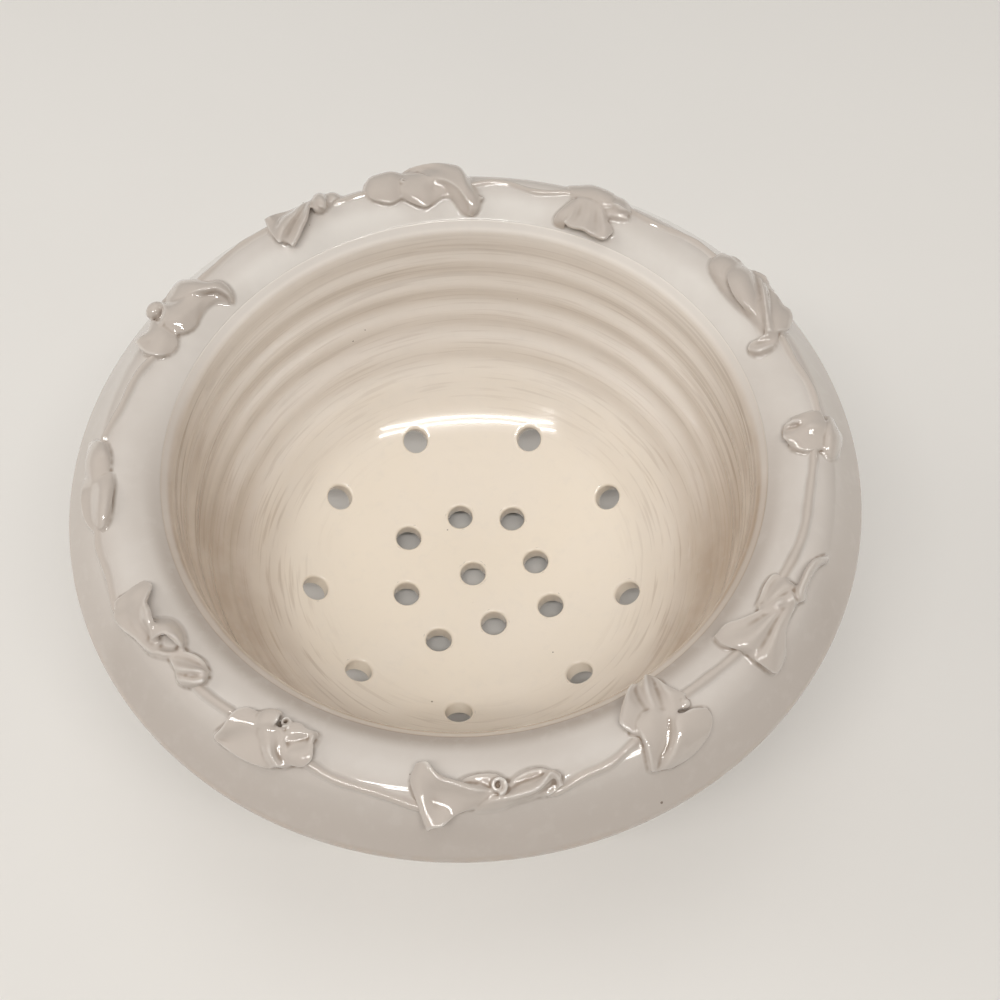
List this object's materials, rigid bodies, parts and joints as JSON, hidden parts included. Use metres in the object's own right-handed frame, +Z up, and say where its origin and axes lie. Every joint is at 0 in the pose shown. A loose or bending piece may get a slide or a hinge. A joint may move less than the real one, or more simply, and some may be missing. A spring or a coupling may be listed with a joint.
{
  "type": "berry colander bowl",
  "caption": "Round stoneware berry bowl with drain holes in the floor, a wide turned-down rim, a low foot ring, and a vine with folded ivy leaves laid round the rim.",
  "frame": {"origin": "on the table under the middle of the foot ring", "axes": "+Z up along the bowl's axis, +Y towards the back of the picture, +X to its right"},
  "size_m": [0.2, 0.2, 0.0885],
  "materials": {
    "bowl_glaze": "glossy warm cream glaze",
    "rim_glaze": "glossy off-white glaze",
    "foot_clay": "glazed sides, wiped underneath",
    "vine_glaze": "glossy off-white glaze",
    "leaf_glaze": "glossy off-white glaze, pooled in the folds"
  },
  "bodies": {
    "root": {"bowl_floor": "bowl_glaze", "bowl_belly": "bowl_glaze", "bowl_wall": "bowl_glaze", "rim": "rim_glaze", "foot_ring": "foot_clay", "vine_1": "vine_glaze", "vine_2": "vine_glaze", "vine_3": "vine_glaze", "vine_4": "vine_glaze", "vine_5": "vine_glaze", "vine_6": "vine_glaze", "vine_7": "vine_glaze", "vine_8": "vine_glaze", "vine_9": "vine_glaze", "vine_10": "vine_glaze", "vine_11": "vine_glaze", "vine_12": "vine_glaze", "leaf_1a": "leaf_glaze", "leaf_1b": "leaf_glaze", "leaf_1c": "leaf_glaze", "leaf_2a": "leaf_glaze", "leaf_2b": "leaf_glaze", "leaf_2c": "leaf_glaze", "leaf_3a": "leaf_glaze", "leaf_3b": "leaf_glaze", "leaf_3c": "leaf_glaze", "leaf_4a": "leaf_glaze", "leaf_4b": "leaf_glaze", "leaf_5a": "leaf_glaze", "leaf_5b": "leaf_glaze", "leaf_5c": "leaf_glaze", "leaf_6a": "leaf_glaze", "leaf_6b": "leaf_glaze", "leaf_7a": "leaf_glaze", "leaf_7b": "leaf_glaze", "leaf_7c": "leaf_glaze", "leaf_8a": "leaf_glaze", "leaf_8b": "leaf_glaze", "leaf_8c": "leaf_glaze", "leaf_9a": "leaf_glaze", "leaf_9b": "leaf_glaze", "leaf_9c": "leaf_glaze", "leaf_10a": "leaf_glaze", "leaf_10b": "leaf_glaze", "leaf_11a": "leaf_glaze", "leaf_11b": "leaf_glaze", "leaf_11c": "leaf_glaze", "leaf_12a": "leaf_glaze", "leaf_12b": "leaf_glaze", "curl_1": "leaf_glaze", "curl_2": "leaf_glaze", "bud_5": "leaf_glaze", "bud_6": "leaf_glaze", "curl_7": "leaf_glaze", "bud_12": "leaf_glaze"}
  },
  "joints": []
}
